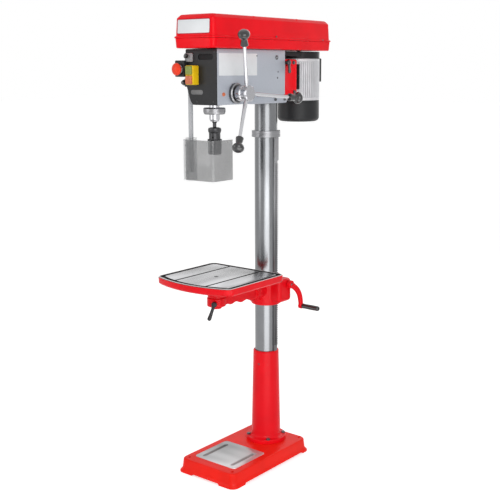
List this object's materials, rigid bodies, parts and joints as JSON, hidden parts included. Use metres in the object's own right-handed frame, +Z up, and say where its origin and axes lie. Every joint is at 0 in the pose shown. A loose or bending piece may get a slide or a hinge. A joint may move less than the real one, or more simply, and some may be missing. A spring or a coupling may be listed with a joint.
{
  "type": "drill press",
  "caption": "Floor-standing drill press with a crank-raised tilting table, a lever-fed quill with chuck and guard, and a motor driving it by belts under a hinged cover.",
  "frame": {"origin": "floor, at the centre of the press's plan outline, handles and hinge included", "axes": "+Z up the column, -Y the side the operator stands at, +X the operator's right hand, the side of the feed handles and the table crank"},
  "size_m": [0.4101, 0.8192, 1.808],
  "materials": {
    "red_paint": "gloss red paint",
    "silver_paint": "silver-grey paint",
    "black_plastic": "satin black",
    "black_paint": "satin black paint",
    "ground_steel": "ground, lightly oiled",
    "bright_steel": "polished",
    "dark_steel": "blackened",
    "cast_alloy": "as cast",
    "belt_rubber": "matt",
    "yellow_plastic": "yellow",
    "green_plastic": "green",
    "red_plastic": "orange-red",
    "clear_plastic": "clear, lightly smoked"
  },
  "bodies": {
    "stand": {"base": "red_paint", "column_support": "red_paint", "column": "ground_steel", "rack_collar": "cast_alloy", "head_casting": "silver_paint", "side_panel": "silver_paint", "front_cover": "black_plastic", "switch_housing": "yellow_plastic", "estop_box": "black_plastic", "spring_cap": "black_plastic", "return_spring": "dark_steel", "cover_pan": "red_paint", "lid_hinge": "black_paint", "front_belt": "belt_rubber", "rear_belt": "belt_rubber", "guard_bracket": "black_paint"},
    "table_swing": {"rack": "ground_steel"},
    "table_carriage": {"table_bracket": "red_paint", "tilt_bolt": "dark_steel"},
    "crank": {"crank_arm": "red_paint"},
    "crank_grip": {"crank_grip": "black_plastic"},
    "lift_pinion": {"lift_pinion": "dark_steel"},
    "column_clamp": {"column_clamp_lever": "black_paint"},
    "table_arm": {"table_arm": "red_paint"},
    "table_clamp": {"table_clamp_lever": "black_paint"},
    "table": {"table": "red_paint"},
    "quill": {"quill": "bright_steel", "quill_collar": "cast_alloy", "quill_bearing": "bright_steel"},
    "spindle": {"spindle": "dark_steel", "chuck_body": "dark_steel"},
    "chuck_sleeve": {"chuck_sleeve": "dark_steel"},
    "chuck_jaw_1": {"chuck_jaw_1": "bright_steel"},
    "chuck_jaw_2": {"chuck_jaw_2": "bright_steel"},
    "chuck_jaw_3": {"chuck_jaw_3": "bright_steel"},
    "feed": {"feed_shaft": "dark_steel", "feed_hub": "bright_steel", "feed_spoke_1": "bright_steel", "feed_spoke_2": "bright_steel", "feed_spoke_3": "bright_steel", "feed_knob_1": "black_plastic", "feed_knob_2": "black_plastic", "feed_knob_3": "black_plastic"},
    "depth_ring": {"depth_ring": "dark_steel"},
    "spindle_pulley": {"spindle_pulley": "cast_alloy"},
    "idler_pulley": {"idler_pulley": "cast_alloy"},
    "motor": {"motor_body": "cast_alloy", "motor_shield": "black_paint", "fan_cover": "black_plastic", "terminal_box": "black_plastic", "motor_slide": "black_paint"},
    "motor_pulley": {"motor_pulley": "cast_alloy"},
    "tension_lever": {"tension_lever": "black_paint"},
    "cover_lid": {"cover_lid": "red_paint"},
    "start_button": {"start_button": "green_plastic"},
    "stop_button": {"stop_button": "red_plastic"},
    "estop_button": {"estop_button": "red_plastic"},
    "guard_rod": {"guard_rod": "silver_paint"},
    "chuck_guard": {"chuck_guard": "clear_plastic"},
    "guard_knob": {"guard_knob": "black_plastic"}
  },
  "joints": [
    {"name": "table_swing", "type": "hinge", "parent": "stand", "child": "table_swing", "pos_m": [-0.02354, 0.07835, 0.72], "axis": [0, 0, 1], "continuous": true},
    {"name": "table_lift", "type": "slide", "parent": "table_swing", "child": "table_carriage", "axis": [0, 0, 1], "range_m": [-0.18, 0.34]},
    {"name": "crank_turn", "type": "hinge", "parent": "table_carriage", "child": "crank", "pos_m": [0.08045, 0.09835, 0.7435], "axis": [1, 0, 0], "continuous": true},
    {"name": "crank_grip_spin", "type": "hinge", "parent": "crank", "child": "crank_grip", "pos_m": [0.10146, 0.15826, 0.643], "axis": [1, 0, 0], "continuous": true},
    {"name": "lift_pinion_turn", "type": "hinge", "parent": "table_carriage", "child": "lift_pinion", "pos_m": [0.04596, 0.07835, 0.72], "axis": [0, 1, 0], "continuous": true},
    {"name": "column_clamp_turn", "type": "hinge", "parent": "table_carriage", "child": "column_clamp", "pos_m": [-0.02354, 0.15235, 0.7], "axis": [1, 0, 0], "range_deg": [0, 60]},
    {"name": "table_tilt", "type": "hinge", "parent": "table_carriage", "child": "table_arm", "pos_m": [-0.02354, -0.00765, 0.72], "axis": [0, 1, 0], "range_deg": [-45, 45]},
    {"name": "table_clamp_turn", "type": "hinge", "parent": "table_arm", "child": "table_clamp", "pos_m": [-0.02354, -0.23515, 0.72], "axis": [0.515, -0.8572, 0], "range_deg": [-30, 60]},
    {"name": "table_turn", "type": "hinge", "parent": "table_arm", "child": "table", "pos_m": [-0.02354, -0.23515, 0.82], "axis": [0, 0, 1], "continuous": true},
    {"name": "feed_turn", "type": "hinge", "parent": "stand", "child": "feed", "pos_m": [-0.02354, -0.20555, 1.5225], "axis": [1, 0, 0], "range_deg": [0, 381.9], "stiffness_Nm_per_rad": 0.036, "springref_deg": -1145.92},
    {"name": "quill_feed", "type": "slide", "parent": "stand", "child": "quill", "axis": [0, 0, -1], "range_m": [0, 0.08]},
    {"name": "depth_ring_turn", "type": "hinge", "parent": "feed", "child": "depth_ring", "pos_m": [0.05386, -0.20555, 1.5225], "axis": [1, 0, 0], "range_deg": [-170, 170]},
    {"name": "motor_spin", "type": "hinge", "parent": "motor", "child": "motor_pulley", "pos_m": [-0.02354, 0.29835, 1.706], "axis": [0, 0, 1], "continuous": true},
    {"name": "idler_spin", "type": "hinge", "parent": "stand", "child": "idler_pulley", "pos_m": [-0.02354, 0.03035, 1.706], "axis": [0, 0, 1], "continuous": true},
    {"name": "pulley_spin", "type": "hinge", "parent": "stand", "child": "spindle_pulley", "pos_m": [-0.02354, -0.23515, 1.706], "axis": [0, 0, 1], "continuous": true},
    {"name": "spindle_spin", "type": "hinge", "parent": "quill", "child": "spindle", "pos_m": [-0.02354, -0.23515, 1.352], "axis": [0, 0, 1], "continuous": true},
    {"name": "chuck_sleeve_turn", "type": "hinge", "parent": "spindle", "child": "chuck_sleeve", "pos_m": [-0.02354, -0.23515, 1.352], "axis": [0, 0, 1], "range_deg": [0, 720]},
    {"name": "chuck_jaw_1_slide", "type": "slide", "parent": "spindle", "child": "chuck_jaw_1", "axis": [0.1801, 0.104, 0.9781], "range_m": [0, 0.018]},
    {"name": "chuck_jaw_2_slide", "type": "slide", "parent": "spindle", "child": "chuck_jaw_2", "axis": [-0.1801, 0.104, 0.9781], "range_m": [0, 0.018]},
    {"name": "chuck_jaw_3_slide", "type": "slide", "parent": "spindle", "child": "chuck_jaw_3", "axis": [0, -0.2079, 0.9781], "range_m": [0, 0.018]},
    {"name": "motor_slide", "type": "slide", "parent": "stand", "child": "motor", "axis": [0, 1, 0], "range_m": [-0.012, 0]},
    {"name": "tension_turn", "type": "hinge", "parent": "stand", "child": "tension_lever", "pos_m": [0.04845, 0.11435, 1.636], "axis": [1, 0, 0], "range_deg": [-90, 0]},
    {"name": "lid_open", "type": "hinge", "parent": "stand", "child": "cover_lid", "pos_m": [-0.13104, 0.02335, 1.721], "axis": [0, -1, 0], "range_deg": [0, 100]},
    {"name": "start_press", "type": "slide", "parent": "stand", "child": "start_button", "axis": [0, 1, 0], "range_m": [0, 0.004], "stiffness_N_per_m": 400, "springref_m": -0.002},
    {"name": "stop_press", "type": "slide", "parent": "stand", "child": "stop_button", "axis": [0, 1, 0], "range_m": [0, 0.004], "stiffness_N_per_m": 400, "springref_m": -0.002},
    {"name": "estop_press", "type": "slide", "parent": "stand", "child": "estop_button", "axis": [0, 1, 0], "range_m": [0, 0.006]},
    {"name": "guard_height", "type": "slide", "parent": "stand", "child": "guard_rod", "axis": [0, 0, 1], "range_m": [-0.045, 0.05]},
    {"name": "guard_swing", "type": "hinge", "parent": "guard_rod", "child": "chuck_guard", "pos_m": [-0.12004, -0.26165, 1.354], "axis": [0, 0, 1], "range_deg": [-110, 0]},
    {"name": "guard_knob_turn", "type": "hinge", "parent": "stand", "child": "guard_knob", "pos_m": [-0.12004, -0.28565, 1.561], "axis": [0, -1, 0], "range_deg": [-180, 180]}
  ],
  "couplings": [
    {"joint": "crank_turn", "follows": "table_lift", "rad_per_m": -523.6},
    {"joint": "lift_pinion_turn", "follows": "table_lift", "rad_per_m": -66.667},
    {"joint": "quill_feed", "follows": "feed_turn", "m_per_rad": 0.012},
    {"joint": "idler_spin", "follows": "motor_spin", "ratio": 1.1905},
    {"joint": "pulley_spin", "follows": "motor_spin", "ratio": 2.0308},
    {"joint": "spindle_spin", "follows": "motor_spin", "ratio": 2.0308},
    {"joint": "tension_turn", "follows": "motor_slide", "rad_per_m": 130},
    {"joint": "chuck_jaw_1_slide", "follows": "chuck_sleeve_turn", "m_per_rad": 0.00143},
    {"joint": "chuck_jaw_2_slide", "follows": "chuck_sleeve_turn", "m_per_rad": 0.00143},
    {"joint": "chuck_jaw_3_slide", "follows": "chuck_sleeve_turn", "m_per_rad": 0.00143}
  ]
}
